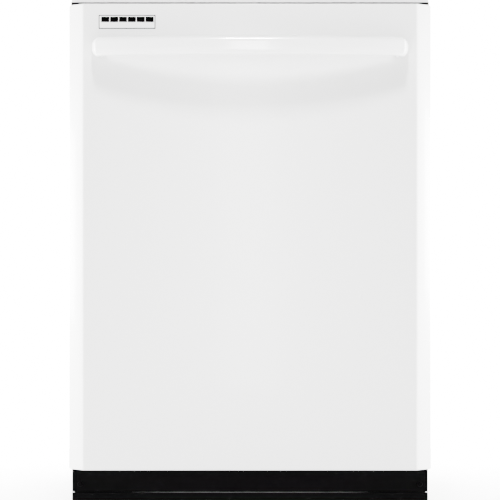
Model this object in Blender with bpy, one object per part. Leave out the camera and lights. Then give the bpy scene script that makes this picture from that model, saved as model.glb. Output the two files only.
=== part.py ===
"""Built-in dishwasher, 24 inch class: tub, base, drop-down door, two racks and three spray arms.

Metres, with the front towards -Y and the floor at Z = 0.
"""

import math

import bmesh
import bpy
from mathutils import Matrix, Vector

# Overall sizes
WIDTH = 0.606
HEIGHT = 0.874
BODY_DEPTH = 0.622
HANDLE_REACH = 0.068

# Shared clearances
GAP = 0.0003
RUN = 0.00008

# Planes that the pieces share
DOOR_FRONT = -(BODY_DEPTH + HANDLE_REACH) / 2 + HANDLE_REACH
BACK = (BODY_DEPTH + HANDLE_REACH) / 2
DOOR_BOTTOM = 0.088
DOOR_TOP = HEIGHT - 0.017
DOOR_HALF = WIDTH / 2 - 0.002
HINGE_Y = DOOR_FRONT + 0.035
HINGE_Z = DOOR_BOTTOM + 0.027
LINER_BACK = DOOR_FRONT + 0.051
FLANGE_FRONT = LINER_BACK + 0.004
TUB_FRONT = FLANGE_FRONT + 0.003
TOE_FRONT = HINGE_Y + 0.0475
BASE_FRONT = TOE_FRONT + 0.004

# Tub
TUB_HALF = WIDTH / 2 - 0.017
TUB_WALL = 0.006
TUB_BOTTOM = 0.146
TUB_TOP = HEIGHT - 0.024
TUB_BACK = BACK - 0.025
FLOOR = TUB_BOTTOM + TUB_WALL
INNER_HALF = TUB_HALF - TUB_WALL
INNER_BACK = TUB_BACK - TUB_WALL
CEILING = TUB_TOP - TUB_WALL

# Base and feet
BASE_HALF = WIDTH / 2 - 0.005
BASE_WALL = 0.010
BASE_BOTTOM = 0.018
PIN_RADIUS = 0.004

# Spray arms
ARM_Y = 0.070
ARM_REACH = INNER_HALF - 0.058
POST_RADIUS = 0.009

# Racks
RACK_FRONT = LINER_BACK + 0.033
RACK_BACK = INNER_BACK - 0.029
LOWER_HALF = INNER_HALF - 0.025
LOWER_FLOOR = 0.205
UPPER_HALF = INNER_HALF - 0.032
UPPER_FLOOR = CEILING - 0.339
WHEEL_RADIUS = 0.0175
TRACK_TOP = FLOOR + 0.006


def clear_scene():
    for obj in list(bpy.data.objects):
        bpy.data.objects.remove(obj)


def new_object(name, mesh_builder):
    mesh = bpy.data.meshes.new(name)
    shape = bmesh.new()
    mesh_builder(shape)
    bmesh.ops.recalc_face_normals(shape, faces=shape.faces)
    shape.to_mesh(mesh)
    shape.free()
    obj = bpy.data.objects.new(name, mesh)
    bpy.context.scene.collection.objects.link(obj)
    return obj


def add_box(shape, x, y, z):
    """One closed box between the two values of each axis."""
    size = Vector((x[1] - x[0], y[1] - y[0], z[1] - z[0]))
    middle = Vector((x[0] + x[1], y[0] + y[1], z[0] + z[1])) / 2
    placed = Matrix.Translation(middle) @ Matrix.Diagonal((*size, 1))
    bmesh.ops.create_cube(shape, size=1, matrix=placed)


def block(name, x, y, z):
    return new_object(name, lambda shape: add_box(shape, x, y, z))


def blocks(name, spans):
    """Separate boxes in one object, for a cutter that makes many openings."""

    def build(shape):
        for x, y, z in spans:
            add_box(shape, x, y, z)

    return new_object(name, build)


def rod(name, start, axis, radius, length, sides=24, end_radius=None):
    """A round bar from start along X, Y or Z, with smooth sides."""
    turns = {
        "X": Matrix.Rotation(math.pi / 2, 4, "Y"),
        "Y": Matrix.Rotation(-math.pi / 2, 4, "X"),
        "Z": Matrix.Identity(4),
    }
    along = turns[axis] @ Vector((0, 0, length / 2))
    placed = Matrix.Translation(Vector(start) + along) @ turns[axis]
    far = radius if end_radius is None else end_radius

    def build(shape):
        bmesh.ops.create_cone(
            shape,
            cap_ends=True,
            segments=sides,
            radius1=radius,
            radius2=far,
            depth=length,
            matrix=placed,
        )
        for face in shape.faces:
            face.smooth = len(face.verts) == 4

    return new_object(name, build)


def prism(name, outline, low, high):
    """A flat plan outline of (x, y) points, raised from one height to another."""

    def build(shape):
        face = shape.faces.new([shape.verts.new((x, y, low)) for x, y in outline])
        made = bmesh.ops.extrude_face_region(shape, geom=[face])
        moved = [item for item in made["geom"] if isinstance(item, bmesh.types.BMVert)]
        bmesh.ops.translate(shape, verts=moved, vec=(0, 0, high - low))

    return new_object(name, build)


def apply_tool(obj, tool, operation):
    tool.hide_render = True
    tool.display_type = "WIRE"
    modifier = obj.modifiers.new(operation.title(), "BOOLEAN")
    modifier.operation = operation
    modifier.solver = "EXACT"
    modifier.object = tool


def cut(obj, *tools):
    for tool in tools:
        apply_tool(obj, tool, "DIFFERENCE")


def fuse(obj, *tools):
    for tool in tools:
        apply_tool(obj, tool, "UNION")


def finish(obj, slot, colour, roughness, metallic=0.0):
    """Gives the piece its own material slot."""
    material = bpy.data.materials.new(slot)
    material.use_nodes = True
    shader = material.node_tree.nodes["Principled BSDF"]
    shader.inputs["Base Color"].default_value = (*colour, 1)
    shader.inputs["Roughness"].default_value = roughness
    shader.inputs["Metallic"].default_value = metallic
    obj.data.materials.clear()
    obj.data.materials.append(material)


def pivot(obj, point):
    """Puts the object's origin on its joint, with the shape left where it is."""
    obj.data.transform(Matrix.Translation(-Vector(point)))
    obj.location = point
    return obj


WHITE = (0.86, 0.86, 0.85)
BLACK = (0.012, 0.012, 0.013)
STEEL = (0.62, 0.62, 0.61)


# Tub: a box of stainless sheet, open at the front, with a sump opening in its floor.
FILTER_Y = -0.025
FILTER_RADIUS = 0.040
FILTER_WALL = 0.002
SUMP_HALF = 0.110
SUMP_FRONT = FILTER_Y - FILTER_RADIUS - 0.005
SUMP_BACK = 0.110
FLOAT_X = -INNER_HALF + 0.065
FLOAT_Y = -0.150
FLOAT_STEM = 0.005


def build_tub():
    tub = block("tub", (-TUB_HALF, TUB_HALF), (TUB_FRONT, TUB_BACK), (TUB_BOTTOM, TUB_TOP))
    room = block(
        "tub_room",
        (-INNER_HALF, INNER_HALF),
        (TUB_FRONT - 0.010, INNER_BACK),
        (FLOOR, CEILING),
    )
    drain = block(
        "tub_drain_opening",
        (-SUMP_HALF, SUMP_HALF),
        (SUMP_FRONT, SUMP_BACK),
        (TUB_BOTTOM - 0.010, FLOOR + 0.010),
    )
    float_hole = rod(
        "tub_float_hole",
        (FLOAT_X, FLOAT_Y, TUB_BOTTOM - 0.010),
        "Z",
        FLOAT_STEM + RUN,
        0.030,
    )
    cut(tub, room, drain, float_hole)
    finish(tub, "tub_steel", STEEL, 0.32, 1.0)


TAB_X = 0.200


def build_flange():
    """The tub's front frame: its top strip shows above the door and bends back into two counter tabs."""
    opening_half = INNER_HALF - 0.004
    flange = block(
        "tub_flange",
        (-WIDTH / 2 + 0.003, WIDTH / 2 - 0.003),
        (FLANGE_FRONT, TUB_FRONT - GAP),
        (TUB_BOTTOM - 0.016, HEIGHT),
    )
    opening = block(
        "flange_opening",
        (-opening_half, opening_half),
        (FLANGE_FRONT - 0.010, TUB_FRONT + 0.010),
        (FLOOR + 0.002, CEILING - 0.004),
    )
    cut(flange, opening)
    strike_z = DOOR_TOP - 0.0085
    strike = block(
        "flange_strike",
        (-0.012, 0.012),
        (LINER_BACK - 0.006, FLANGE_FRONT + 0.001),
        (strike_z, strike_z + 0.002),
    )
    fuse(flange, strike)
    for side, sign in (("left", -1), ("right", 1)):
        x = sign * TAB_X
        tab = block(
            f"counter_tab_{side}",
            (x - 0.012, x + 0.012),
            (TUB_FRONT - 0.001, TUB_FRONT + 0.030),
            (HEIGHT - 0.002, HEIGHT),
        )
        hole = rod(
            f"tab_hole_{side}", (x, TUB_FRONT + 0.021, HEIGHT - 0.006), "Z", 0.0022, 0.012, 16
        )
        fuse(flange, tab)
        cut(flange, hole)
    finish(flange, "flange_enamel", (0.74, 0.74, 0.73), 0.35)


def build_gasket():
    outer = INNER_HALF - 0.001
    inner = outer - 0.004
    top = CEILING - 0.001
    gasket = block(
        "door_gasket",
        (-outer, outer),
        (LINER_BACK + GAP, FLANGE_FRONT - GAP),
        (FLOOR + 0.003, top),
    )
    middle = block(
        "gasket_middle",
        (-inner, inner),
        (LINER_BACK - 0.010, FLANGE_FRONT + 0.010),
        (FLOOR - 0.010, top - 0.006),
    )
    cut(gasket, middle)
    finish(gasket, "gasket_rubber", (0.03, 0.03, 0.032), 0.8)


# Base: a frame of moulded walls that carries the tub, with a forked ear each side for the door pins.
FOOT_INSET = 0.024
EAR_X = BASE_HALF - 0.0085
EAR_THICK = 0.003
EAR_NOSE = 0.009
LEG_RADIUS = 0.005
LEG_DROP = 0.012


def foot_places():
    across = BASE_HALF - BASE_WALL - FOOT_INSET
    return {
        "front_left": (-across, BASE_FRONT + BASE_WALL + FOOT_INSET),
        "front_right": (across, BASE_FRONT + BASE_WALL + FOOT_INSET),
        "rear_left": (-across, BACK - BASE_WALL - FOOT_INSET),
        "rear_right": (across, BACK - BASE_WALL - FOOT_INSET),
    }


def build_base():
    inner = BASE_HALF - BASE_WALL
    rear = BACK
    base = block(
        "base_frame",
        (-BASE_HALF, BASE_HALF),
        (BASE_FRONT, rear),
        (BASE_BOTTOM, TUB_BOTTOM - GAP),
    )
    middle = block(
        "base_middle",
        (-inner, inner),
        (BASE_FRONT + BASE_WALL, rear - BASE_WALL),
        (BASE_BOTTOM - 0.010, TUB_BOTTOM + 0.010),
    )
    service = blocks(
        "base_service_openings",
        [
            ((-0.200, 0.200), (BASE_FRONT - 0.01, BASE_FRONT + 0.02), (0.040, 0.105)),
            ((-0.200, 0.200), (rear - 0.02, rear + 0.01), (0.040, 0.105)),
        ],
    )
    cut(base, middle, service)
    for place, (x, y) in foot_places().items():
        corner = block(
            f"base_corner_{place}",
            (x - FOOT_INSET - 0.002, x + FOOT_INSET + 0.002),
            (y - FOOT_INSET - 0.002, y + FOOT_INSET + 0.002),
            (BASE_BOTTOM + 0.001, BASE_BOTTOM + 0.030),
        )
        hole = rod(
            f"base_leg_hole_{place}",
            (x, y, BASE_BOTTOM - 0.010),
            "Z",
            LEG_RADIUS + RUN,
            0.060,
        )
        fuse(base, corner)
        cut(base, hole)
    for side, sign in (("left", -1), ("right", 1)):
        near = sign * EAR_X
        far = sign * (EAR_X + EAR_THICK)
        span = (min(near, far), max(near, far))
        arm = block(
            f"base_ear_{side}",
            span,
            (HINGE_Y, BASE_FRONT + 0.005),
            (HINGE_Z - EAR_NOSE, HINGE_Z + EAR_NOSE),
        )
        nose = rod(
            f"base_ear_nose_{side}",
            (span[0], HINGE_Y, HINGE_Z),
            "X",
            EAR_NOSE,
            EAR_THICK,
        )
        pin_hole = rod(
            f"base_pin_hole_{side}",
            (span[0] - 0.005, HINGE_Y, HINGE_Z),
            "X",
            PIN_RADIUS + RUN,
            EAR_THICK + 0.010,
        )
        fuse(base, arm, nose)
        cut(base, pin_hole)
    finish(base, "base_plastic", (0.035, 0.035, 0.037), 0.6)


def build_legs():
    for place, (x, y) in foot_places().items():
        leg = rod(f"levelling_leg_{place}", (x, y, 0), "Z", 0.017, 0.008)
        stem = rod(
            f"leg_stem_{place}", (x, y, 0.004), "Z", LEG_RADIUS, BASE_BOTTOM + 0.022
        )
        fuse(leg, stem)
        pivot(leg, (x, y, 0))
        finish(leg, f"leg_{place}_nylon", (0.05, 0.05, 0.05), 0.55)


def build_toe_panels():
    half = WIDTH / 2 - 0.0015
    split = 0.040
    access = block(
        "access_panel",
        (-half, half),
        (TOE_FRONT, BASE_FRONT - GAP),
        (split + 0.001, HINGE_Z - EAR_NOSE - 0.004),
    )
    toe = block(
        "toe_panel",
        (-half, half),
        (TOE_FRONT - 0.002, BASE_FRONT - GAP),
        (0.003, split),
    )
    finish(toe, "toe_panel_enamel", (0.018, 0.018, 0.02), 0.45)
    for side, sign in (("left", -1), ("right", 1)):
        head = rod(
            f"panel_screw_{side}",
            (sign * (half - 0.0135), TOE_FRONT - 0.0020, 0.054),
            "Y",
            0.0040,
            0.0030,
            16,
            0.0048,
        )
        fuse(access, head)
    finish(access, "access_panel_enamel", BLACK, 0.4)


# Insulation: a felt blanket over the tub's top and both sides.
BLANKET_THICK = 0.008


def build_blanket():
    inner = TUB_HALF + GAP
    outer = inner + BLANKET_THICK
    top = TUB_TOP + GAP
    blanket = block(
        "insulation_blanket",
        (-outer, outer),
        (TUB_FRONT + 0.018, TUB_BACK - 0.020),
        (TUB_BOTTOM + 0.004, top + BLANKET_THICK),
    )
    middle = block(
        "blanket_middle",
        (-inner, inner),
        (TUB_FRONT - 0.010, TUB_BACK + 0.010),
        (TUB_BOTTOM - 0.010, top),
    )
    cut(blanket, middle)
    finish(blanket, "blanket_felt", (0.10, 0.10, 0.105), 0.95)


# Sump: a moulded cup under the opening, closed by a flat filter plate that also carries the arm post.
PLATE_TOP = FLOOR + 0.0043
SUMP_DEPTH = 0.070


def build_sump():
    margin = 0.012
    low = TUB_BOTTOM - SUMP_DEPTH
    sump = block(
        "sump",
        (-SUMP_HALF - margin, SUMP_HALF + margin),
        (SUMP_FRONT - margin, SUMP_BACK + margin),
        (low, TUB_BOTTOM - GAP),
    )
    bowl = block(
        "sump_bowl",
        (-SUMP_HALF, SUMP_HALF),
        (SUMP_FRONT, SUMP_BACK),
        (low + 0.005, TUB_BOTTOM + 0.010),
    )
    cut(sump, bowl)
    finish(sump, "sump_plastic", (0.16, 0.16, 0.17), 0.5)


def build_filter_plate():
    plate = block(
        "filter_plate",
        (-0.130, 0.130),
        (SUMP_FRONT - 0.015, SUMP_BACK + 0.020),
        (FLOOR + GAP, PLATE_TOP),
    )
    opening = rod(
        "plate_filter_opening",
        (0, FILTER_Y, FLOOR - 0.020),
        "Z",
        (FILTER_RADIUS + RUN) / math.cos(math.pi / 32),
        0.050,
        32,
    )
    slots = []
    for side in (-1, 1):
        for row in range(4):
            middle = side * (FILTER_RADIUS + 0.018 + 0.012 * row)
            slots.append(
                ((middle - 0.003, middle + 0.003), (-0.060, 0.030), (FLOOR - 0.01, FLOOR + 0.02))
            )
    slotted = blocks("plate_slots", slots)
    cut(plate, opening, slotted)
    collar = rod("plate_collar", (0, ARM_Y, FLOOR + 0.001), "Z", 0.022, 0.0275)
    post = rod("plate_post", (0, ARM_Y, FLOOR + 0.002), "Z", POST_RADIUS, 0.038)
    fuse(plate, collar, post)
    finish(plate, "filter_plate_plastic", (0.33, 0.34, 0.35), 0.45)


def build_filter():
    body = rod(
        "filter_cup", (0, FILTER_Y, TUB_BOTTOM - 0.045), "Z", FILTER_RADIUS, 0.058, 32
    )
    rim = rod("filter_rim", (0, FILTER_Y, PLATE_TOP + GAP), "Z", FILTER_RADIUS + 0.008, 0.004, 32)
    inside = rod(
        "filter_inside",
        (0, FILTER_Y, TUB_BOTTOM - 0.042),
        "Z",
        FILTER_RADIUS - FILTER_WALL,
        0.080,
        32,
    )
    grip = block(
        "filter_grip",
        (-FILTER_RADIUS - 0.001, FILTER_RADIUS + 0.001),
        (FILTER_Y - 0.003, FILTER_Y + 0.003),
        (PLATE_TOP + 0.001, PLATE_TOP + 0.012),
    )
    fuse(body, rim)
    cut(body, inside)
    fuse(body, grip)
    pivot(body, (0, FILTER_Y, PLATE_TOP))
    finish(body, "filter_mesh_steel", (0.50, 0.51, 0.52), 0.4, 0.6)


def build_pumps():
    wall = SUMP_HALF + 0.012 + GAP
    wash = rod("wash_pump", (wall, 0.020, 0.100), "X", 0.034, 0.110)
    snout = rod("wash_volute", (wall, 0.020, 0.100), "X", 0.042, 0.028)
    fuse(wash, snout)
    finish(wash, "wash_pump_body", (0.07, 0.07, 0.075), 0.5)
    drain = rod("drain_pump", (-wall - 0.070, 0.020, 0.105), "X", 0.026, 0.070)
    outlet = rod("drain_outlet", (-wall - 0.035, 0.020, 0.105), "Y", 0.009, 0.090)
    fuse(drain, outlet)
    finish(drain, "drain_pump_body", (0.10, 0.10, 0.11), 0.5)


def build_services():
    inside = BASE_HALF - BASE_WALL - GAP
    valve = block(
        "inlet_valve",
        (-inside, -inside + 0.045),
        (-0.100, -0.050),
        (0.050, 0.090),
    )
    port = rod("valve_port", (-inside + 0.022, -0.122, 0.070), "Y", 0.010, 0.024)
    fuse(valve, port)
    finish(valve, "inlet_valve_plastic", (0.55, 0.56, 0.57), 0.45)
    box = block(
        "junction_box",
        (inside - 0.060, inside),
        (-0.115, -0.045),
        (0.055, 0.095),
    )
    lid_seam = block(
        "junction_lid_seam",
        (inside - 0.070, inside - 0.058),
        (-0.120, -0.040),
        (0.072, 0.074),
    )
    cut(box, lid_seam)
    finish(box, "junction_box_steel", (0.55, 0.55, 0.56), 0.4, 1.0)


def build_feed_tube():
    """Carries water up the back wall and along the ceiling to the top arm."""
    rise = block(
        "feed_tube",
        (-0.016, 0.016),
        (INNER_BACK - 0.018, INNER_BACK - GAP),
        (PLATE_TOP + 0.010, CEILING - GAP),
    )
    along = block(
        "feed_along",
        (-0.016, 0.016),
        (ARM_Y - 0.022, INNER_BACK - 0.004),
        (CEILING - 0.020, CEILING - GAP),
    )
    post = rod("feed_post", (0, ARM_Y, CEILING - 0.055), "Z", POST_RADIUS, 0.040)
    fuse(rise, along, post)
    finish(rise, "feed_tube_plastic", (0.40, 0.41, 0.42), 0.5)


def build_arm(name, low, slot):
    """A two-bladed spray arm that turns on a post through its hub."""
    tall = 0.012
    hub = rod(name, (0, ARM_Y, low), "Z", 0.030, tall, 32)
    outline = [
        (-ARM_REACH, ARM_Y - 0.012),
        (-ARM_REACH + 0.010, ARM_Y - 0.020),
        (0, ARM_Y - 0.026),
        (ARM_REACH - 0.010, ARM_Y - 0.020),
        (ARM_REACH, ARM_Y - 0.012),
        (ARM_REACH, ARM_Y + 0.012),
        (ARM_REACH - 0.010, ARM_Y + 0.020),
        (0, ARM_Y + 0.026),
        (-ARM_REACH + 0.010, ARM_Y + 0.020),
        (-ARM_REACH, ARM_Y + 0.012),
    ]
    blades = prism(f"{name}_blades", outline, low + 0.001, low + tall - 0.001)
    bore = rod(f"{name}_bore", (0, ARM_Y, low - 0.01), "Z", POST_RADIUS + RUN, 0.05)
    fuse(hub, blades)
    jets = []
    for place in (-0.200, -0.155, -0.110, -0.065, 0.065, 0.110, 0.155, 0.200):
        aside = 0.006 if place > 0 else -0.006
        jets.append(
            (
                (place - 0.004, place + 0.004),
                (ARM_Y + aside - 0.0015, ARM_Y + aside + 0.0015),
                (low + tall - 0.004, low + tall + 0.010),
            )
        )
    nozzles = blocks(f"{name}_jets", jets)
    cut(hub, nozzles, bore)
    pivot(hub, (0, ARM_Y, low))
    finish(hub, slot, (0.30, 0.31, 0.32), 0.45)


# The float lifts a switch when the water stands too high.
def build_float():
    cap = rod("overfill_float", (FLOAT_X, FLOAT_Y, FLOOR + GAP), "Z", 0.018, 0.013)
    stem = rod("float_stem", (FLOAT_X, FLOAT_Y, TUB_BOTTOM - 0.012), "Z", FLOAT_STEM, 0.025)
    fuse(cap, stem)
    pivot(cap, (FLOAT_X, FLOAT_Y, FLOOR))
    finish(cap, "float_plastic", (0.62, 0.62, 0.60), 0.45)


# Rack guides: a ledge each side for the lower wheels and a two-part slide each side for the upper rack.
SLIDE_Z = UPPER_FLOOR + 0.065
SLIDE_HALF_TALL = 0.013
SLIDE_REAR = RACK_BACK - 0.005


def side_span(sign, near, far):
    return (min(sign * near, sign * far), max(sign * near, sign * far))


def build_guides():
    for side, sign in (("left", -1), ("right", 1)):
        track = block(
            f"lower_track_{side}",
            side_span(sign, INNER_HALF - 0.022, INNER_HALF - GAP),
            (TUB_FRONT + 0.001, SLIDE_REAR),
            (FLOOR + GAP, TRACK_TOP),
        )
        finish(track, f"track_{side}_steel", STEEL, 0.3, 1.0)
        rail = block(
            f"upper_rail_{side}",
            side_span(sign, INNER_HALF - 0.011, INNER_HALF - GAP),
            (TUB_FRONT + 0.012, SLIDE_REAR),
            (SLIDE_Z - SLIDE_HALF_TALL, SLIDE_Z + SLIDE_HALF_TALL),
        )
        groove = block(
            f"upper_rail_groove_{side}",
            side_span(sign, INNER_HALF - 0.014, INNER_HALF - 0.006),
            (TUB_FRONT, SLIDE_REAR + 0.010),
            (SLIDE_Z - 0.009, SLIDE_Z + 0.009),
        )
        cut(rail, groove)
        finish(rail, f"rail_{side}_steel", STEEL, 0.3, 1.0)
        slide = block(
            f"upper_slide_{side}",
            side_span(sign, INNER_HALF - 0.021, INNER_HALF - 0.0065),
            (TUB_FRONT + 0.012, SLIDE_REAR),
            (SLIDE_Z - 0.0085, SLIDE_Z + 0.0085),
        )
        channel = block(
            f"upper_slide_groove_{side}",
            side_span(sign, INNER_HALF - 0.024, INNER_HALF - 0.015),
            (TUB_FRONT, SLIDE_REAR + 0.010),
            (SLIDE_Z - 0.006, SLIDE_Z + 0.006),
        )
        cut(slide, channel)
        finish(slide, f"slide_{side}_steel", (0.70, 0.70, 0.69), 0.25, 1.0)


# Racks: baskets of coated wire, each made of five flat grids of bars.
WIRE = 0.004
LOWER_TALL = 0.115
UPPER_TALL = 0.115
WHEEL_PLACES = (("front", -0.030), ("rear", RACK_BACK - 0.055))


def wire_panel(name, spans, lies_in, counts):
    """A flat grid of bars that fills the three spans and lies in the two named axes."""
    panel = block(name, *spans)
    openings = []
    for column in range(counts[0]):
        for row in range(counts[1]):
            opening = [(low - 0.010, high + 0.010) for low, high in spans]
            for axis, place, count in zip(lies_in, (column, row), counts):
                low, high = spans[axis]
                pitch = (high - low - WIRE) / count
                opening[axis] = (low + WIRE + place * pitch, low + (place + 1) * pitch)
            openings.append(tuple(opening))
    cut(panel, blocks(f"{name}_openings", openings))
    return panel


def build_basket(name, half, low, tall):
    """The floor, front and rear of a rack, and its two sides, which carry the runners."""
    within = WIRE + GAP
    deep = (RACK_FRONT + within, RACK_BACK - within)
    floor_spans = ((-half + within, half - within), deep, (low, low + WIRE))
    floor = wire_panel(name, floor_spans, (0, 1), (7, 6))
    up = (low, low + tall)
    front_spans = ((-half, half), (RACK_FRONT, RACK_FRONT + WIRE), up)
    front = wire_panel(f"{name}_front", front_spans, (0, 2), (7, 2))
    rear_spans = ((-half, half), (RACK_BACK - WIRE, RACK_BACK), up)
    rear = wire_panel(f"{name}_rear", rear_spans, (0, 2), (7, 2))
    sides = {}
    for side, sign in (("left", -1), ("right", 1)):
        side_spans = (side_span(sign, half - WIRE, half), deep, up)
        sides[side] = wire_panel(f"{name}_{side}", side_spans, (1, 2), (6, 2))
    for panel in (floor, front, rear, *sides.values()):
        finish(panel, f"{panel.name}_coating", (0.36, 0.38, 0.40), 0.45)
    return floor, sides


def build_lower_rack():
    """The basket stands on a runner each side, which carries two wheels on stub axles."""
    sides = build_basket("lower_rack", LOWER_HALF, LOWER_FLOOR, LOWER_TALL)[1]
    axle_z = TRACK_TOP + WHEEL_RADIUS + GAP
    for side, sign in (("left", -1), ("right", 1)):
        runner = block(
            f"wheel_runner_{side}",
            side_span(sign, LOWER_HALF - 0.003, LOWER_HALF + 0.003),
            (WHEEL_PLACES[0][1] - 0.014, WHEEL_PLACES[1][1] + 0.014),
            (axle_z - 0.008, LOWER_FLOOR + 0.002),
        )
        fuse(sides[side], runner)
        for place, y in WHEEL_PLACES:
            start = sign * (LOWER_HALF - 0.002)
            axle = rod(
                f"lower_axle_{side}_{place}",
                (min(start, start + sign * 0.022), y, axle_z),
                "X",
                PIN_RADIUS,
                0.022,
            )
            fuse(sides[side], axle)
            near = sign * (LOWER_HALF + 0.0055)
            far = near + sign * 0.010
            wheel = rod(
                f"rack_wheel_{place}_{side}",
                (min(near, far), y, axle_z),
                "X",
                WHEEL_RADIUS,
                0.010,
                32,
            )
            bore = rod(
                f"wheel_bore_{place}_{side}",
                (min(near, far) - 0.010, y, axle_z),
                "X",
                PIN_RADIUS + RUN,
                0.030,
            )
            cut(wheel, bore)
            pivot(wheel, (near, y, axle_z))
            finish(wheel, f"wheel_{place}_{side}_nylon", (0.30, 0.31, 0.32), 0.5)


def build_upper_rack():
    floor, sides = build_basket("upper_rack", UPPER_HALF, UPPER_FLOOR, UPPER_TALL)
    for side, sign in (("left", -1), ("right", 1)):
        runner = block(
            f"upper_runner_{side}",
            side_span(sign, UPPER_HALF - 0.003, INNER_HALF - 0.0155),
            (RACK_FRONT + 0.012, RACK_BACK - 0.040),
            (SLIDE_Z - 0.0055, SLIDE_Z + 0.0055),
        )
        fuse(sides[side], runner)
    bridge = block(
        "upper_bridge",
        (-0.018, 0.018),
        (ARM_Y - 0.018, RACK_BACK - WIRE - 0.001),
        (UPPER_FLOOR - 0.010, UPPER_FLOOR + 0.003),
    )
    post = rod("upper_post", (0, ARM_Y, UPPER_FLOOR - 0.042), "Z", POST_RADIUS, 0.036)
    fuse(floor, bridge, post)


TINE_TALL = 0.085


def build_tines():
    """Two rows of tines in the lower rack, each of which folds flat about its own bar."""
    z = LOWER_FLOOR + WIRE + 0.006
    length = RACK_BACK + 0.055
    for name, x in (("tine_row_left", -0.100), ("tine_row_right", 0.020)):
        bar = rod(name, (x, -0.080, z), "Y", 0.0035, length, 12)
        for count in range(int(length // 0.040) + 1):
            y = -0.070 + 0.040 * count
            tine = rod(f"{name}_{count}", (x, y, z), "Z", 0.0025, TINE_TALL, 8)
            fuse(bar, tine)
        pivot(bar, (x, -0.080, z))
        finish(bar, f"{name}_coating", (0.36, 0.38, 0.40), 0.45)


BASKET_X = (-0.190, 0.190)
BASKET_Y = (RACK_FRONT + WIRE + 0.004, RACK_FRONT + WIRE + 0.074)


def build_silverware_basket():
    low = LOWER_FLOOR + WIRE + GAP
    tall = 0.120
    basket = block("silverware_basket", BASKET_X, BASKET_Y, (low, low + tall))
    cell = (BASKET_X[1] - BASKET_X[0] - 0.003) / 6
    rooms = []
    windows = []
    for count in range(6):
        start = BASKET_X[0] + 0.003 + count * cell
        span = (start, start + cell - 0.003)
        rooms.append((span, (BASKET_Y[0] + 0.003, BASKET_Y[1] - 0.003), (low + 0.003, low + tall + 0.01)))
        narrow = (span[0] + 0.006, span[1] - 0.006)
        through = (BASKET_Y[0] - 0.01, BASKET_Y[1] + 0.01)
        windows.append((narrow, through, (low + 0.015, low + 0.050)))
        windows.append((narrow, through, (low + 0.062, low + 0.100)))
    cut(basket, blocks("basket_rooms", rooms), blocks("basket_windows", windows))
    middle = (BASKET_Y[0] + BASKET_Y[1]) / 2
    handle = block(
        "basket_handle",
        (-0.060, 0.060),
        (middle - 0.003, middle + 0.003),
        (low + tall - 0.020, low + tall + 0.035),
    )
    grip = block(
        "basket_grip",
        (-0.050, 0.050),
        (middle - 0.010, middle + 0.010),
        (low + tall + 0.003, low + tall + 0.025),
    )
    fuse(basket, handle)
    cut(basket, grip)
    finish(basket, "basket_plastic", (0.40, 0.41, 0.43), 0.5)


# Door: a white sheet steel front with bevelled sides, a steel liner and a control strip along the top edge.
SKIN = 0.0025
BEVEL_ACROSS = 0.0260
BEVEL_BACK = 0.0185
TRAY_BACK = DOOR_FRONT + 0.020
LINER_HALF = WIDTH / 2 - 0.019
LINER_TOP = DOOR_TOP - 0.0225
VENT_X = (-DOOR_HALF + 0.052, -DOOR_HALF + 0.145)
VENT_Z = (DOOR_TOP - 0.0415, DOOR_TOP - 0.019)
DISPENSER_X = (-0.090, 0.085)
DISPENSER_Z = (0.440, 0.560)


def panel_outline(inset):
    """The door's plan outline: flat middle and a softly rounded bevel down each side."""
    crease = DOOR_HALF - BEVEL_ACROSS
    right = []
    for step in range(5):
        turn = step / 4
        across = crease + BEVEL_ACROSS * turn
        back = BEVEL_BACK * (0.72 * turn + 0.28 * turn * turn)
        depth = DOOR_FRONT + inset + back * (1 - 0.1 * (inset > 0))
        right.append((across - inset * (0.3 + 0.7 * turn), depth))
    right.append((DOOR_HALF - inset, TRAY_BACK + (0.010 if inset else 0)))
    left = [(-x, y) for x, y in reversed(right)]
    return right + left


def build_door_panel():
    panel = prism("door_panel", panel_outline(0), DOOR_BOTTOM, DOOR_TOP)
    hollow = prism(
        "door_panel_hollow", panel_outline(SKIN), DOOR_BOTTOM + SKIN, DOOR_TOP - SKIN
    )
    vent = block(
        "door_vent_hole",
        (VENT_X[0] - GAP, VENT_X[1] + GAP),
        (DOOR_FRONT - 0.010, DOOR_FRONT + 0.010),
        (VENT_Z[0] - GAP, VENT_Z[1] + GAP),
    )
    cut(panel, hollow, vent)
    finish(panel, "door_enamel", WHITE, 0.35)


def build_door_liner():
    front = TRAY_BACK + GAP
    liner = block(
        "door_liner",
        (-LINER_HALF, LINER_HALF),
        (front, LINER_BACK),
        (HINGE_Z + 0.003, LINER_TOP),
    )
    hollow = block(
        "liner_hollow",
        (-LINER_HALF + 0.003, LINER_HALF - 0.003),
        (front - 0.010, LINER_BACK - 0.003),
        (HINGE_Z + 0.006, LINER_TOP - 0.003),
    )
    dispenser = block(
        "liner_dispenser_hole",
        (DISPENSER_X[0] + 0.006, DISPENSER_X[1] - 0.006),
        (LINER_BACK - 0.010, LINER_BACK + 0.010),
        (DISPENSER_Z[0] + 0.006, DISPENSER_Z[1] - 0.006),
    )
    vent = block(
        "liner_vent_hole",
        (VENT_X[0] + 0.008, VENT_X[1] - 0.008),
        (LINER_BACK - 0.010, LINER_BACK + 0.010),
        (VENT_Z[0] - 0.010, VENT_Z[1] - 0.010),
    )
    cut(liner, hollow, dispenser, vent)
    finish(liner, "liner_steel", STEEL, 0.3, 1.0)


BUTTON_X = (0.060, 0.105, 0.235)
BUTTON_HALF = 0.011
BUTTON_TRAVEL = 0.001
CONSOLE_TOP = DOOR_TOP + 0.005


def button_span(x, spare=0.0):
    middle = (TRAY_BACK + LINER_BACK) / 2
    across = (x - BUTTON_HALF - spare, x + BUTTON_HALF + spare)
    return across, (middle - 0.005 - spare, middle + 0.005 + spare)


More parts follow.
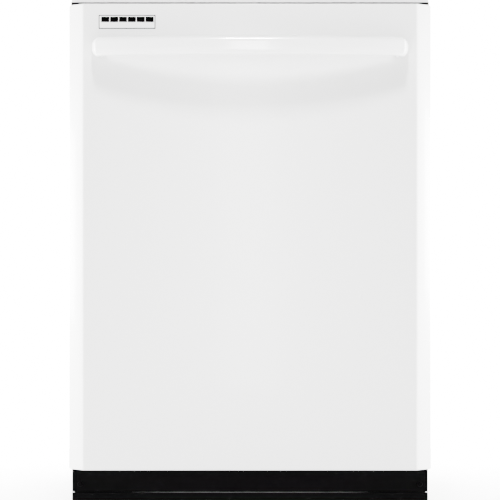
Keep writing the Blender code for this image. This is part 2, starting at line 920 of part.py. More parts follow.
def build_console():
    console = block(
        "control_console",
        (-DOOR_HALF + 0.004, DOOR_HALF - 0.004),
        (TRAY_BACK + GAP, LINER_BACK),
        (LINER_TOP + GAP, CONSOLE_TOP),
    )
    hollow = block(
        "console_hollow",
        (-DOOR_HALF + 0.008, DOOR_HALF - 0.008),
        (TRAY_BACK + 0.003, LINER_BACK - 0.013),
        (LINER_TOP - 0.010, CONSOLE_TOP - 0.003),
    )
    well = block(
        "console_button_wells",
        (BUTTON_X[0] - 0.020, BUTTON_X[-1] + 0.020),
        (TRAY_BACK + 0.003, LINER_BACK - 0.003),
        (LINER_TOP - 0.010, CONSOLE_TOP - 0.003),
    )
    slot = block(
        "console_latch_slot",
        (-0.020, 0.020),
        (LINER_BACK - 0.011, LINER_BACK + 0.010),
        (DOOR_TOP - 0.014, DOOR_TOP - 0.003),
    )
    cut(console, hollow, well, slot)
    holes = []
    for x in BUTTON_X:
        across, deep = button_span(x, GAP)
        holes.append((across, deep, (CONSOLE_TOP - 0.010, CONSOLE_TOP + 0.010)))
    cut(console, blocks("console_button_holes", holes))
    finish(console, "console_plastic", (0.015, 0.015, 0.017), 0.3)
    for number, x in enumerate(BUTTON_X, 1):
        across, deep = button_span(x)
        button = block(
            f"button_{number}", across, deep, (CONSOLE_TOP - 0.006, CONSOLE_TOP + 0.0008)
        )
        finish(button, f"button_{number}_plastic", (0.055, 0.055, 0.06), 0.4)


HANDLE_HALF = DOOR_HALF - 0.039
HANDLE_Z = DOOR_TOP - 0.074
HANDLE_RADIUS = 0.0155
HANDLE_FLAT = 0.86
HANDLE_END_OUT = 0.030


def handle_path():
    """Plan points of the bar's middle line: out from the door, across in a shallow bow, and back."""
    crown = HANDLE_REACH - HANDLE_RADIUS * HANDLE_FLAT
    end_x = HANDLE_HALF - HANDLE_RADIUS
    points = [(-end_x, -GAP), (-end_x, HANDLE_END_OUT * 0.55)]
    for step in range(13):
        across = -1 + step / 6
        reach = crown - (crown - HANDLE_END_OUT) * across * across
        points.append((across * (end_x - 0.010), reach))
    points.append((end_x, HANDLE_END_OUT * 0.55))
    points.append((end_x, -GAP))
    return points


def build_handle():
    """An oval bar swept along its bowed middle line."""
    path = [(x, DOOR_FRONT - out) for x, out in handle_path()]
    path[0] = (path[0][0], DOOR_FRONT - GAP)
    path[-1] = (path[-1][0], DOOR_FRONT - GAP)
    sides = 16

    def build(shape):
        rings = []
        last = len(path) - 1
        for place, (x, y) in enumerate(path):
            before = Vector(path[max(place - 1, 0)])
            after = Vector(path[min(place + 1, last)])
            along = (after - before).normalized()
            if place in (0, last):
                along = Vector((0, -1 if place == 0 else 1))
            across = Vector((-along.y, along.x))
            ring = []
            for step in range(sides):
                turn = 2 * math.pi * step / sides
                aside = HANDLE_RADIUS * HANDLE_FLAT * math.cos(turn)
                rise = HANDLE_RADIUS * math.sin(turn)
                point = (x + across.x * aside, y + across.y * aside, HANDLE_Z + rise)
                ring.append(shape.verts.new(point))
            rings.append(ring)
        for first, second in zip(rings, rings[1:]):
            for step in range(sides):
                following = (step + 1) % sides
                corners = (first[step], first[following], second[following], second[step])
                shape.faces.new(corners).smooth = True
        shape.faces.new(rings[0])
        shape.faces.new(rings[-1])

    handle = new_object("handle_bar", build)
    finish(handle, "handle_enamel", (0.88, 0.88, 0.87), 0.18)


def build_vent():
    grille = block("vent_grille", VENT_X, (DOOR_FRONT - 0.0012, DOOR_FRONT + 0.006), VENT_Z)
    slots = []
    for count in range(6):
        start = VENT_X[0] + 0.0035 + 0.0147 * count
        through = (DOOR_FRONT - 0.010, DOOR_FRONT + 0.020)
        slots.append(((start, start + 0.0133), through, (VENT_Z[1] - 0.0115, VENT_Z[1] - 0.0025)))
    cut(grille, blocks("vent_slots", slots))
    finish(grille, "vent_plastic", (0.80, 0.80, 0.79), 0.4)
    duct = block(
        "vent_duct",
        (VENT_X[0] + 0.004, VENT_X[1] - 0.004),
        (DOOR_FRONT + 0.0065, LINER_BACK - 0.0035),
        (VENT_Z[0] - 0.014, VENT_Z[1] - 0.0075),
    )
    inside = block(
        "vent_duct_inside",
        (VENT_X[0] + 0.007, VENT_X[1] - 0.007),
        (DOOR_FRONT + 0.0010, LINER_BACK + 0.010),
        (VENT_Z[0] - 0.011, VENT_Z[1] - 0.0105),
    )
    cut(duct, inside)
    finish(duct, "duct_plastic", (0.10, 0.10, 0.11), 0.6)


def build_dispenser():
    face = LINER_BACK + GAP
    body = block("detergent_dispenser", DISPENSER_X, (face, face + 0.003), DISPENSER_Z)
    core = block(
        "dispenser_core",
        (DISPENSER_X[0] + 0.0065, DISPENSER_X[1] - 0.0065),
        (LINER_BACK - 0.020, face + 0.001),
        (DISPENSER_Z[0] + 0.0065, DISPENSER_Z[1] - 0.0065),
    )
    cup = block(
        "dispenser_cup", (-0.078, 0.006), (LINER_BACK - 0.018, face + 0.010), (0.453, 0.547)
    )
    port = rod("dispenser_port", (0.046, face - 0.010, 0.500), "Y", 0.013, 0.030)
    fuse(body, core)
    cut(body, cup, port)
    finish(body, "dispenser_plastic", (0.42, 0.43, 0.45), 0.45)
    lid = block(
        "dispenser_lid",
        (-0.083, 0.011),
        (face + 0.003 + GAP, face + 0.0055 + GAP),
        (0.448, 0.552),
    )
    rib = block(
        "dispenser_lid_rib", (0.001, 0.005), (face + 0.005, face + 0.0085), (0.470, 0.530)
    )
    fuse(lid, rib)
    finish(lid, "lid_plastic", (0.30, 0.31, 0.33), 0.4)
    cap = rod("rinse_aid_cap", (0.046, face + 0.003 + GAP, 0.500), "Y", 0.018, 0.003)
    ridge = block(
        "rinse_cap_ridge", (0.032, 0.060), (face + 0.005, face + 0.0085), (0.4975, 0.5025)
    )
    fuse(cap, ridge)
    pivot(cap, (0.046, face, 0.500))
    finish(cap, "cap_plastic", (0.12, 0.13, 0.15), 0.4)


def build_hinge_arms():
    thick = 0.0032
    near = LINER_HALF + GAP
    for side, sign in (("left", -1), ("right", 1)):
        arm = block(
            f"hinge_arm_{side}",
            side_span(sign, near, near + thick),
            (HINGE_Y - 0.008, HINGE_Y + 0.008),
            (HINGE_Z, HINGE_Z + 0.120),
        )
        nose = rod(
            f"hinge_arm_nose_{side}",
            (side_span(sign, near, near + thick)[0], HINGE_Y, HINGE_Z),
            "X",
            0.008,
            thick,
        )
        pin = rod(
            f"hinge_pin_{side}",
            (side_span(sign, near + 0.001, near + 0.0105)[0], HINGE_Y, HINGE_Z),
            "X",
            PIN_RADIUS,
            0.0095,
        )
        fuse(arm, nose, pin)
        finish(arm, f"hinge_{side}_steel", STEEL, 0.35, 1.0)


def build_cabinet():
    build_tub()
    build_flange()
    build_gasket()
    build_base()
    build_legs()
    build_toe_panels()
    build_blanket()
    build_sump()
    build_filter_plate()
    build_filter()
    build_pumps()
    build_services()
    build_feed_tube()
    build_float()
    build_guides()


def build_loading():
    build_lower_rack()
    build_upper_rack()
    build_tines()
    build_silverware_basket()
    build_arm("lower_spray_arm", FLOOR + 0.030, "lower_arm_plastic")
    build_arm("middle_spray_arm", UPPER_FLOOR - 0.038, "middle_arm_plastic")
    build_arm("top_spray_arm", CEILING - 0.052, "top_arm_plastic")


def build_door():
    build_door_panel()
    build_door_liner()
    build_console()
    build_handle()
    build_vent()
    build_dispenser()
    build_hinge_arms()


clear_scene()
build_cabinet()
build_loading()
build_door()
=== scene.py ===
"""A built-in dishwasher: finishes, wire racks, handle, door skin, vent and insulation blanket."""

import math

import bpy
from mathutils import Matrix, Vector


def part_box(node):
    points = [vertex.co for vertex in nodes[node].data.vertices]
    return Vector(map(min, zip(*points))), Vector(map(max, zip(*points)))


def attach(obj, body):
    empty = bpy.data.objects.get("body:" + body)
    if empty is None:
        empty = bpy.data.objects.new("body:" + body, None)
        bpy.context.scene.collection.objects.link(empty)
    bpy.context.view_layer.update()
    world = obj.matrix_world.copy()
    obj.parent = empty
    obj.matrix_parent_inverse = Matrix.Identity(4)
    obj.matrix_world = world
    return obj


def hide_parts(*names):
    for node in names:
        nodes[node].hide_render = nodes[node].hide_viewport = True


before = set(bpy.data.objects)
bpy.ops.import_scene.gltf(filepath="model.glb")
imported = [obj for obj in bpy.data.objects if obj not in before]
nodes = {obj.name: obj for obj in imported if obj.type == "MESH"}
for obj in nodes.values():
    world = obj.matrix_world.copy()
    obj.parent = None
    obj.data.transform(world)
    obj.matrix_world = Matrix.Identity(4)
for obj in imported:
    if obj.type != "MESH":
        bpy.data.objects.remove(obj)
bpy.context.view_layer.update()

# Surroundings
# A plain pale floor, a white surround and broad soft lamps, as in an appliance showroom.
# The camera stands level in front of the door, a little below the middle of its height.
CAMERA_HEIGHT = 0.451
CAMERA_AWAY = 2.80
DOOR_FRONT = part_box("door_panel")[0][1]

bpy.ops.mesh.primitive_plane_add(size=12, location=(0, 0, -0.0005))
floor = bpy.context.object
floor.name = "floor"

bpy.ops.object.camera_add(
    location=(0, DOOR_FRONT - CAMERA_AWAY, CAMERA_HEIGHT), rotation=(math.pi / 2, 0, 0)
)
camera = bpy.context.object
camera.data.lens = 122.4
bpy.context.scene.camera = camera

world = bpy.data.worlds.new("surround")
bpy.context.scene.world = world
world.use_nodes = True
sky = world.node_tree
place = sky.nodes.new("ShaderNodeTexCoord")
split = sky.nodes.new("ShaderNodeSeparateXYZ")
rise = sky.nodes.new("ShaderNodeMapRange")
rise.inputs["From Min"].default_value = -0.4
rise.inputs["From Max"].default_value = 0.7
rise.inputs["To Min"].default_value = 0.05
rise.inputs["To Max"].default_value = 0.30
sky.links.new(place.outputs["Generated"], split.inputs[0])
sky.links.new(split.outputs["Z"], rise.inputs["Value"])
sky.links.new(rise.outputs["Result"], sky.nodes["Background"].inputs["Strength"])
sky.nodes["Background"].inputs["Color"].default_value = (1, 1, 1, 1)


def area_lamp(name, place, target, size, power):
    bpy.ops.object.light_add(type="AREA", location=place)
    lamp = bpy.context.object
    lamp.name = name
    lamp.data.size = size
    lamp.data.energy = power
    aim = Vector(target) - Vector(place)
    lamp.rotation_euler = aim.to_track_quat("-Z", "Y").to_euler()
    return lamp


area_lamp("key_above", (0, -2.0, 3.2), (0, -0.3, 0.7), 0.5, 350)
strip = area_lamp("strip_front", (0, -0.98, 0.52), (0, -0.28, 0.52), 0.14, 13)
strip.data.shape = "RECTANGLE"
strip.data.size_y = 0.9
area_lamp("side_left", (-2.5, -0.10, 0.6), (0, -0.3, 0.45), 1.0, 700)
area_lamp("side_right", (2.5, -0.10, 0.6), (0, -0.3, 0.45), 1.0, 700)

# The far wall glows evenly, so that it reads as a clean white surround, and is clear from behind.
bpy.ops.mesh.primitive_plane_add(size=3.2, location=(0, 0.80, 0), rotation=(math.pi / 2, 0, 0))
wall = bpy.context.object
wall.name = "far_wall"
glow = bpy.data.materials.new("wall_glow")
glow.use_nodes = True
tree = glow.node_tree
tree.nodes.remove(tree.nodes["Principled BSDF"])
lit = tree.nodes.new("ShaderNodeEmission")
lit.inputs["Strength"].default_value = 30
clear = tree.nodes.new("ShaderNodeBsdfTransparent")
behind = tree.nodes.new("ShaderNodeNewGeometry")
either = tree.nodes.new("ShaderNodeMixShader")
tree.links.new(behind.outputs["Backfacing"], either.inputs[0])
tree.links.new(lit.outputs[0], either.inputs[1])
tree.links.new(clear.outputs[0], either.inputs[2])
tree.links.new(either.outputs[0], tree.nodes["Material Output"].inputs["Surface"])
wall.data.materials.append(glow)

# Finishes
# Each finish is a base colour with faint cloudy variation, uneven gloss and a fine surface grain.
# One group makes the variation, so that each material only says how strong and how stretched it is.


def surface_group():
    group = bpy.data.node_groups.new("SurfaceVariation", "ShaderNodeTree")
    face = group.interface
    face.new_socket(name="Vector", in_out="INPUT", socket_type="NodeSocketVector")
    face.new_socket(name="Base", in_out="INPUT", socket_type="NodeSocketColor")
    face.new_socket(name="Shade", in_out="INPUT", socket_type="NodeSocketColor")
    face.new_socket(name="Gloss", in_out="INPUT", socket_type="NodeSocketFloat")
    face.new_socket(name="Spread", in_out="INPUT", socket_type="NodeSocketFloat")
    face.new_socket(name="Grain", in_out="INPUT", socket_type="NodeSocketFloat")
    face.new_socket(name="Color", in_out="OUTPUT", socket_type="NodeSocketColor")
    face.new_socket(name="Roughness", in_out="OUTPUT", socket_type="NodeSocketFloat")
    face.new_socket(name="Height", in_out="OUTPUT", socket_type="NodeSocketFloat")
    tree = group.nodes
    join = group.links.new
    given = tree.new("NodeGroupInput")
    made = tree.new("NodeGroupOutput")
    cloud = tree.new("ShaderNodeTexNoise")
    cloud.inputs["Scale"].default_value = 5.0
    cloud.inputs["Detail"].default_value = 3.0
    join(given.outputs["Vector"], cloud.inputs["Vector"])
    blend = tree.new("ShaderNodeMix")
    blend.data_type = "RGBA"
    join(cloud.outputs["Fac"], blend.inputs["Factor"])
    join(given.outputs["Base"], blend.inputs[6])
    join(given.outputs["Shade"], blend.inputs[7])
    join(blend.outputs[2], made.inputs["Color"])
    grain = tree.new("ShaderNodeTexNoise")
    grain.inputs["Detail"].default_value = 2.0
    join(given.outputs["Vector"], grain.inputs["Vector"])
    join(given.outputs["Grain"], grain.inputs["Scale"])
    join(grain.outputs["Fac"], made.inputs["Height"])
    centred = tree.new("ShaderNodeMath")
    centred.operation = "SUBTRACT"
    centred.inputs[1].default_value = 0.5
    join(grain.outputs["Fac"], centred.inputs[0])
    spread = tree.new("ShaderNodeMath")
    spread.operation = "MULTIPLY_ADD"
    join(centred.outputs[0], spread.inputs[0])
    join(given.outputs["Spread"], spread.inputs[1])
    join(given.outputs["Gloss"], spread.inputs[2])
    join(spread.outputs[0], made.inputs["Roughness"])
    return group


VARIATION = surface_group()


def surface(
    name,
    colour,
    roughness,
    metallic=0.0,
    shade=0.94,
    spread=0.1,
    grain=400.0,
    bump=0.04,
    stretch=(1, 1, 1),
    coat=0.0,
    specular=0.5,
):
    material = bpy.data.materials.new(name)
    material.use_nodes = True
    tree = material.node_tree
    shader = tree.nodes["Principled BSDF"]
    shader.inputs["Metallic"].default_value = metallic
    shader.inputs["Coat Weight"].default_value = coat
    shader.inputs["Specular IOR Level"].default_value = specular
    shader.inputs["Coat Roughness"].default_value = 0.08
    place = tree.nodes.new("ShaderNodeTexCoord")
    mapping = tree.nodes.new("ShaderNodeMapping")
    mapping.inputs["Scale"].default_value = stretch
    made = tree.nodes.new("ShaderNodeGroup")
    made.node_tree = VARIATION
    made.inputs["Base"].default_value = (*colour, 1)
    made.inputs["Shade"].default_value = (*[channel * shade for channel in colour], 1)
    made.inputs["Gloss"].default_value = roughness
    made.inputs["Spread"].default_value = spread
    made.inputs["Grain"].default_value = grain
    relief = tree.nodes.new("ShaderNodeBump")
    relief.inputs["Strength"].default_value = bump
    relief.inputs["Distance"].default_value = 0.0005
    tree.links.new(place.outputs["Object"], mapping.inputs["Vector"])
    tree.links.new(mapping.outputs["Vector"], made.inputs["Vector"])
    tree.links.new(made.outputs["Color"], shader.inputs["Base Color"])
    tree.links.new(made.outputs["Roughness"], shader.inputs["Roughness"])
    tree.links.new(made.outputs["Height"], relief.inputs["Height"])
    tree.links.new(relief.outputs["Normal"], shader.inputs["Normal"])
    return material


def paint(names, material):
    for name in names:
        obj = nodes[name] if name in nodes else bpy.data.objects[name]
        obj.data.materials.clear()
        obj.data.materials.append(material)


floor.data.materials.append(surface("floor_pale", (0.85, 0.85, 0.85), 0.6, grain=60, bump=0.02))

# Door skin
# White enamelled sheet steel, pressed with a flat face and a broad bevel down each side.
# It hooks over the liner, so its back is open, and one hole is cut for the vent grille.
SKIN_THICK = 0.0012
SKIN_DEEP = 0.0190
BEVEL_ACROSS = 0.026
low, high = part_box("door_panel")
bevel_share = (high[0] - BEVEL_ACROSS) / high[0]


def select_flat(axis, value, within=0.0005):
    """Selects the faces whose middle lies at that value on an axis."""
    bpy.ops.object.mode_set(mode="OBJECT")
    mesh = bpy.context.object.data
    for part in (mesh.polygons, mesh.edges, mesh.vertices):
        for item in part:
            item.select = False
    for polygon in mesh.polygons:
        if abs(polygon.center[axis] - value) < within:
            polygon.select = True
    bpy.ops.object.mode_set(mode="EDIT")
    bpy.ops.mesh.select_mode(type="FACE")


def place_box(name, start, end):
    """A box between two corners, with its object left at the origin."""
    bpy.ops.object.select_all(action="DESELECT")
    bpy.ops.mesh.primitive_cube_add(size=1)
    obj = bpy.context.object
    obj.name = name
    obj.scale = [b - a for a, b in zip(start, end)]
    obj.location = [(a + b) / 2 for a, b in zip(start, end)]
    bpy.ops.object.transform_apply(location=True, rotation=True, scale=True)
    return obj


def apply_last(obj):
    bpy.context.view_layer.objects.active = obj
    bpy.ops.object.modifier_apply(modifier=obj.modifiers[-1].name)


def soften(obj, width, segments=3, angle=30):
    bevel = obj.modifiers.new("soften", "BEVEL")
    bevel.width = width
    bevel.segments = segments
    bevel.limit_method = "ANGLE"
    bevel.angle_limit = math.radians(angle)
    apply_last(obj)


def smooth(obj, angle=35):
    bpy.ops.object.select_all(action="DESELECT")
    obj.select_set(True)
    bpy.context.view_layer.objects.active = obj
    bpy.ops.object.shade_smooth_by_angle(angle=math.radians(angle))


def open_out(obj, tool):
    cutter = obj.modifiers.new("cut", "BOOLEAN")
    cutter.operation = "DIFFERENCE"
    cutter.solver = "EXACT"
    cutter.object = tool
    apply_last(obj)
    bpy.data.objects.remove(tool)


skin = place_box("door_skin", low, (high[0], low[1] + SKIN_DEEP, high[2]))
bpy.ops.object.mode_set(mode="EDIT")
select_flat(1, low[1])
bpy.ops.transform.resize(value=(bevel_share, 1, 1), center_override=(0, low[1], 0))
bpy.ops.object.mode_set(mode="OBJECT")
soften(skin, 0.0022, 4, 20)
bpy.ops.object.mode_set(mode="EDIT")
select_flat(1, low[1] + SKIN_DEEP)
bpy.ops.mesh.delete(type="FACE")
bpy.ops.object.mode_set(mode="OBJECT")
wall = skin.modifiers.new("wall", "SOLIDIFY")
wall.thickness = SKIN_THICK
wall.offset = -1
apply_last(skin)
vent_low, vent_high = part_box("vent_grille")
hole = place_box(
    "vent_cut",
    (vent_low[0] - 0.0004, low[1] - 0.01, vent_low[2] - 0.0004),
    (vent_high[0] + 0.0004, low[1] + 0.01, vent_high[2] + 0.0004),
)
open_out(skin, hole)
smooth(skin, 25)
skin.data.materials.clear()
skin.data.materials.append(
    surface(
        "white_enamel",
        (0.66, 0.66, 0.657),
        0.38,
        shade=0.985,
        spread=0.05,
        grain=900,
        bump=0.03,
        coat=0.15,
    )
)
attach(skin, "door")
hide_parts("door_panel")

# Handle
# A cast bar with an oval section, enamelled glossy white, that bows away from the door.
# Each end turns back in a mitred elbow and is screwed to the door from inside.
bar_low, bar_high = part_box("handle_bar")
BAR_Z = (bar_low[2] + bar_high[2]) / 2
BAR_TALL = (bar_high[2] - bar_low[2]) / 2
BAR_DEEP = 0.0133
BAR_CROWN = DOOR_FRONT - bar_low[1] - BAR_DEEP
END_X = bar_high[0] - 0.0140


def bar_line():
    """Plan points, from one foot to the other, as (across, out from the door)."""
    points = [(-END_X, 0.0005), (-END_X, 0.010), (-END_X + 0.0004, 0.019)]
    for step in range(33):
        across = -1 + step / 16
        points.append((across * (END_X - 0.0035), BAR_CROWN - (BAR_CROWN - 0.030) * across**2))
    return points + [(END_X - 0.0004, 0.019), (END_X, 0.010), (END_X, 0.0005)]


line = [Vector((x, DOOR_FRONT - out, BAR_Z)) for x, out in bar_line()]
bpy.ops.object.select_all(action="DESELECT")
bpy.ops.mesh.primitive_plane_add(size=1, location=line[0], rotation=(math.pi / 2, 0, 0))
bar = bpy.context.object
bar.name = "handle"
bar.scale = (2 * BAR_DEEP, 2 * BAR_TALL, 1)
bpy.ops.object.transform_apply(location=True, rotation=True, scale=True)
bpy.ops.object.mode_set(mode="EDIT")
bpy.ops.mesh.select_all(action="SELECT")
bpy.ops.mesh.bevel(affect="VERTICES", offset=0.0118, segments=9, offset_type="OFFSET")
bpy.ops.mesh.select_all(action="SELECT")
facing = Vector((0, -1, 0))
for place, (here, there) in enumerate(zip(line, line[1:])):
    bpy.ops.mesh.extrude_region_move(
        TRANSFORM_OT_translate={"value": there - here, "orient_type": "GLOBAL"}
    )
    onward = line[min(place + 2, len(line) - 1)]
    wanted = ((there - here).normalized() + (onward - there).normalized()).normalized()
    if place == len(line) - 2:
        wanted = Vector((0, 1, 0))
    turn = math.atan2(facing.cross(wanted).z, facing.dot(wanted))
    bpy.ops.transform.rotate(
        value=-turn, orient_axis="Z", orient_type="GLOBAL", center_override=there
    )
    facing = wanted
bpy.ops.mesh.select_all(action="SELECT")
bpy.ops.mesh.normals_make_consistent(inside=False)
bpy.ops.object.mode_set(mode="OBJECT")
smooth(bar, 32)
bar.data.materials.append(
    surface(
        "white_gloss",
        (0.76, 0.76, 0.756),
        0.2,
        shade=0.99,
        spread=0.03,
        grain=700,
        bump=0.01,
        coat=0.8,
    )
)
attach(bar, "door")
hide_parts("handle_bar")

# Racks
# Baskets of welded steel wire dipped in grey nylon, with heavy hoops and thinner wires between.
# The lower one stands on four wheels and the upper one hangs on its side slides.
WIRE_THICK = 0.0016
HOOP_THICK = 0.0026
LOWER_FLOOR = 0.207
LOWER_TOP = 0.318
RUNNER_TOP = 0.2065
UPPER_HALF = 0.246
UPPER_FLOOR = 0.507
UPPER_TOP = 0.618
ARM_Y = 0.070
POST_TOP = 0.500
nylon = surface(
    "grey_nylon", (0.10, 0.106, 0.113), 0.42, shade=0.9, grain=300, bump=0.05, specular=0.25
)


def add_wire(start, end, radius):
    """A straight round wire, added to the mesh being edited."""
    along = Vector(end) - Vector(start)
    bpy.ops.mesh.primitive_cylinder_add(
        vertices=8,
        radius=radius,
        depth=along.length,
        location=(Vector(start) + Vector(end)) / 2,
        rotation=along.to_track_quat("Z", "Y").to_euler(),
    )


def wire_rack(name, node, wall_half, floor_z, top_z):
    front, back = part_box(f"{node}_front")[0][1] + 0.002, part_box(f"{node}_rear")[1][1] - 0.002
    bpy.ops.object.select_all(action="DESELECT")
    bpy.ops.mesh.primitive_cylinder_add(
        vertices=8,
        radius=HOOP_THICK,
        depth=2 * wall_half,
        location=(0, front, top_z),
        rotation=(0, math.pi / 2, 0),
    )
    rack = bpy.context.object
    rack.name = name
    bpy.ops.object.transform_apply(location=True, rotation=True, scale=True)
    bpy.ops.object.mode_set(mode="EDIT")
    add_wire((-wall_half, back, top_z), (wall_half, back, top_z), HOOP_THICK)
    middle = (floor_z + top_z) / 2
    for level, radius in ((floor_z, HOOP_THICK), (middle, WIRE_THICK), (top_z, HOOP_THICK)):
        for x in (-wall_half, wall_half):
            add_wire((x, front, level), (x, back, level), radius)
        for y in (front, back):
            add_wire((-wall_half, y, level), (wall_half, y, level), radius)
    for count in range(19):
        x = -wall_half + 2 * wall_half * count / 18
        add_wire((x, front, floor_z), (x, back, floor_z), WIRE_THICK)
        for y in (front, back):
            add_wire((x, y, floor_z), (x, y, top_z), WIRE_THICK)
    for count in range(17):
        y = front + (back - front) * count / 16
        add_wire((-wall_half, y, floor_z), (wall_half, y, floor_z), WIRE_THICK)
        for x in (-wall_half, wall_half):
            add_wire((x, y, floor_z), (x, y, top_z), WIRE_THICK)
    return rack


def add_bar(start, end):
    """A box between two corners, added to the mesh being edited."""
    middle = [(a + b) / 2 for a, b in zip(start, end)]
    sides = [b - a for a, b in zip(start, end)]
    bpy.ops.mesh.primitive_cube_add(size=1, location=middle, scale=sides)


def finish_rack(rack, node):
    """Smooths the wires and puts the rack in place of the five pieces of its basket."""
    bpy.ops.object.mode_set(mode="OBJECT")
    smooth(rack)
    rack.data.materials.append(nylon)
    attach(rack, node)
    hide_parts(node, *[f"{node}_{side}" for side in ("front", "rear", "left", "right")])


lower_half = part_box("rack_wheel_front_right")[0][0] - 0.0075
side_low, side_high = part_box("lower_rack_right")
lower = wire_rack("lower_wire_rack", "lower_rack", lower_half, LOWER_FLOOR, LOWER_TOP)
axles = []
for row in ("front", "rear"):
    wheel_low, wheel_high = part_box(f"rack_wheel_{row}_right")
    axles.append(((wheel_low[1] + wheel_high[1]) / 2, (wheel_low[2] + wheel_high[2]) / 2))
for side in (-1, 1):
    edges = sorted((side * (side_high[0] - 0.023), side * (side_high[0] - 0.017)))
    add_bar((edges[0], axles[0][0] - 0.014, side_low[2]), (edges[1], axles[1][0] + 0.014, RUNNER_TOP))
    for y, z in axles:
        add_wire((side * (side_high[0] - 0.022), y, z), (side * side_high[0], y, z), 0.0038)
finish_rack(lower, "lower_rack")

upper_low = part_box("upper_rack")[0]
rack_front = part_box("upper_rack_front")[0][1]
rack_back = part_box("upper_rack_rear")[1][1]
slide_low, slide_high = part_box("upper_slide_right")
slide_z = (slide_low[2] + slide_high[2]) / 2
upper = wire_rack("upper_wire_rack", "upper_rack", UPPER_HALF, UPPER_FLOOR, UPPER_TOP)
for side in (-1, 1):
    edges = sorted((side * 0.244, side * 0.2642))
    add_bar(
        (edges[0], rack_front + 0.012, slide_z - 0.0055),
        (edges[1], rack_back - 0.040, slide_z + 0.0055),
    )
add_bar((-0.018, ARM_Y - 0.018, 0.495), (0.018, rack_back - 0.001, 0.506))
add_wire((0, ARM_Y, upper_low[2]), (0, ARM_Y, POST_TOP), 0.0089)
finish_rack(upper, "upper_rack")

# Insulation blanket
# Dark pressed felt, wrapped over the top and both sides of the tub and glued on.
# It is soft and lumpy, so its surface has shallow hollows, on the inside as well as the outside.
felt_low, felt_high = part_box("insulation_blanket")
tub_low, tub_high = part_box("tub")
blanket = place_box("felt_blanket", felt_low, felt_high)
inner = place_box(
    "blanket_inner",
    (tub_low[0] - 0.0005, felt_low[1] - 0.05, felt_low[2] - 0.05),
    (tub_high[0] + 0.0005, felt_high[1] + 0.05, tub_high[2] + 0.0005),
)
open_out(blanket, inner)
remesh = blanket.modifiers.new("cloth_grid", "REMESH")
remesh.mode = "VOXEL"
remesh.voxel_size = 0.0035
apply_last(blanket)
lumps = bpy.data.textures.new("felt_lumps", "CLOUDS")
lumps.noise_scale = 0.07
push = blanket.modifiers.new("lumps", "DISPLACE")
push.texture = lumps
push.strength = 0.005
push.mid_level = 0.9
apply_last(blanket)
smooth(blanket, 60)
blanket.data.materials.append(
    surface(
        "dark_felt",
        (0.012, 0.012, 0.013),
        0.95,
        shade=0.6,
        spread=0.05,
        grain=500,
        bump=0.6,
        specular=0.05,
    )
)
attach(blanket, "cabinet")
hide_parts("insulation_blanket")

# Tub, liner and slides
# Stainless sheet with a fine rolled grain, the tub drawn and welded, the liner pressed.
# The slides and hinge arms are rolled or stamped from plated steel.
stainless = surface(
    "stainless",
    (0.60, 0.60, 0.59),
    0.3,
    1.0,
    shade=0.93,
    spread=0.12,
    grain=260,
    bump=0.05,
    stretch=(1, 1, 14),
)
paint(["tub", "door_liner"], stainless)
plated = surface("plated_steel", (0.64, 0.64, 0.63), 0.26, 1.0, shade=0.92, grain=500, bump=0.02)
for part in ("lower_track", "upper_rail", "upper_slide", "hinge_arm"):
    paint([f"{part}_left", f"{part}_right"], plated)
paint(["junction_box"], plated)

# Front trim and toe panels
# The tub's front frame is pale enamelled steel. Its top strip shows as a line above the door.
# The two lower panels are satin black sheet, the upper one held by two black screws.
paint(["tub_flange"], surface("pale_trim", (0.93, 0.93, 0.93), 0.4, shade=0.98, bump=0.02))
paint(
    ["access_panel", "toe_panel"],
    surface(
        "satin_black",
        (0.0010, 0.0010, 0.0011),
        0.55,
        shade=0.8,
        grain=900,
        bump=0.06,
        specular=0.012,
    ),
)

# Moulded black pieces
# Base frame, console, pumps and feet are injection-moulded, with a faint texture from the mould.
# The console is glossier than the rest, and its buttons are satin.
paint(
    ["base_frame", "sump"],
    surface(
        "moulded_black",
        (0.002, 0.002, 0.0022),
        0.6,
        shade=0.85,
        grain=900,
        bump=0.12,
        specular=0.02,
    ),
)
paint(
    ["control_console"],
    surface(
        "console_black",
        (0.003, 0.003, 0.0033),
        0.3,
        shade=0.9,
        grain=900,
        bump=0.02,
        coat=0.1,
        specular=0.2,
    ),
)
paint(
    [f"button_{count}" for count in range(1, 4)],
    surface("button_black", (0.05, 0.05, 0.054), 0.4, shade=0.9, bump=0.03),
)
paint(
    ["wash_pump", "drain_pump"],
    surface("pump_black", (0.05, 0.05, 0.055), 0.5, shade=0.85, grain=600, bump=0.08),
)
feet = [f"levelling_leg_{row}_{side}" for row in ("front", "rear") for side in ("left", "right")]
paint(feet, surface("foot_nylon", (0.045, 0.045, 0.045), 0.6, shade=0.9, grain=700, bump=0.06))
paint(
    ["door_gasket"],
    surface("gasket_black", (0.02, 0.02, 0.021), 0.75, shade=0.8, grain=900, bump=0.12),
)

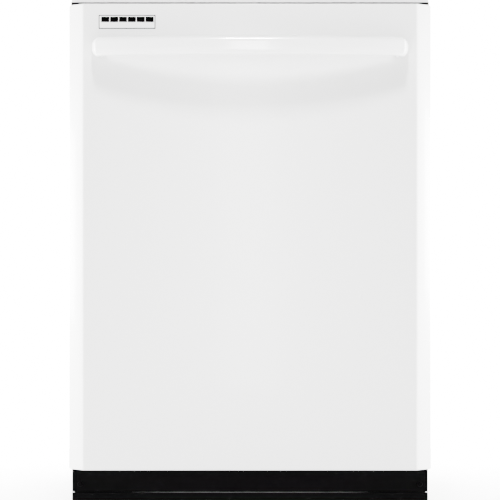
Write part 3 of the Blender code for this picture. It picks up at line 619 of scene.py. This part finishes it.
# Moulded grey pieces inside the tub
# Spray arms, filter plate, feed tube and dispenser are grey polypropylene, matt from hot water.
# The filter's cup is closed with fine steel gauze.
grey = surface("grey_moulding", (0.30, 0.31, 0.32), 0.5, shade=0.9, grain=700, bump=0.08)
paint(["lower_spray_arm", "middle_spray_arm", "top_spray_arm", "filter_plate", "feed_tube"], grey)
paint(
    ["detergent_dispenser", "silverware_basket"],
    surface("light_grey_moulding", (0.42, 0.43, 0.45), 0.48, shade=0.92, grain=700, bump=0.06),
)
paint(
    ["dispenser_lid", "rinse_aid_cap"],
    surface("lid_grey", (0.24, 0.25, 0.27), 0.4, shade=0.92, grain=700, bump=0.05),
)
paint(
    ["overfill_float", "inlet_valve"],
    surface("pale_moulding", (0.60, 0.60, 0.58), 0.5, shade=0.94, bump=0.05),
)
paint(
    ["filter_cup"],
    surface("filter_gauze", (0.5, 0.51, 0.52), 0.45, 0.6, shade=0.75, grain=1500, bump=0.5),
)
wheels = [f"rack_wheel_{row}_{side}" for row in ("front", "rear") for side in ("left", "right")]
paint([*wheels, "tine_row_left", "tine_row_right"], nylon)

# The duct's black finish is also used on the painted shade sheet behind the vent grille.
paint(
    ["vent_duct"],
    surface(
        "duct_black_and_painted_shade",
        (0.0008, 0.0008, 0.0008),
        0.8,
        shade=0.8,
        grain=900,
        bump=0.05,
        specular=0.0,
    ),
)

# Vent grille
# A white moulding clipped into a hole in the door's upper left corner, with six slots for steam.
# A black sheet behind it is painted shade: it hides the inside of the door and stands in for the
# shade in the slots and in the thin dark outline round the moulding.
SLOT_WIDE = 0.0138
SLOT_TALL = 0.0092
SLOT_PITCH = 0.01465
SLOT_FROM_TOP = 0.0118
FACE_INSET = 0.0013
FACE_PROUD = 0.0006
face_start = (vent_low[0] + FACE_INSET, low[1] - FACE_PROUD, vent_low[2] + FACE_INSET)
face_end = (vent_high[0] - FACE_INSET, low[1] + 0.0011, vent_high[2] - FACE_INSET)
grille = place_box("vent_face", face_start, face_end)
round_off = grille.modifiers.new("corners", "BEVEL")
round_off.width = 0.0028
round_off.segments = 4
round_off.limit_method = "ANGLE"
apply_last(grille)
for count in range(6):
    start = vent_low[0] + 0.0036 + SLOT_PITCH * count
    slot = place_box(
        f"slot_{count}",
        (start, low[1] - 0.01, vent_high[2] - SLOT_FROM_TOP),
        (start + SLOT_WIDE, low[1] + 0.01, vent_high[2] - SLOT_FROM_TOP + SLOT_TALL),
    )
    open_out(grille, slot)
smooth(grille, 30)
grille.data.materials.append(
    surface("vent_white", (0.70, 0.70, 0.696), 0.45, shade=0.98, bump=0.03),
)
# Painted shade: a black sheet standing in for the shade behind the slots and in the gap round the
# grille.
shade_sheet = place_box(
    "vent_shade_sheet",
    (vent_low[0] - 0.003, low[1] + 0.0016, vent_low[2] - 0.003),
    (vent_high[0] + 0.003, low[1] + 0.0060, vent_high[2] + 0.003),
)
soften(shade_sheet, 0.0008, 2)
shade_sheet.data.materials.append(bpy.data.materials["duct_black_and_painted_shade"])
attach(grille, "door")
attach(shade_sheet, "door")
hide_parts("vent_grille")
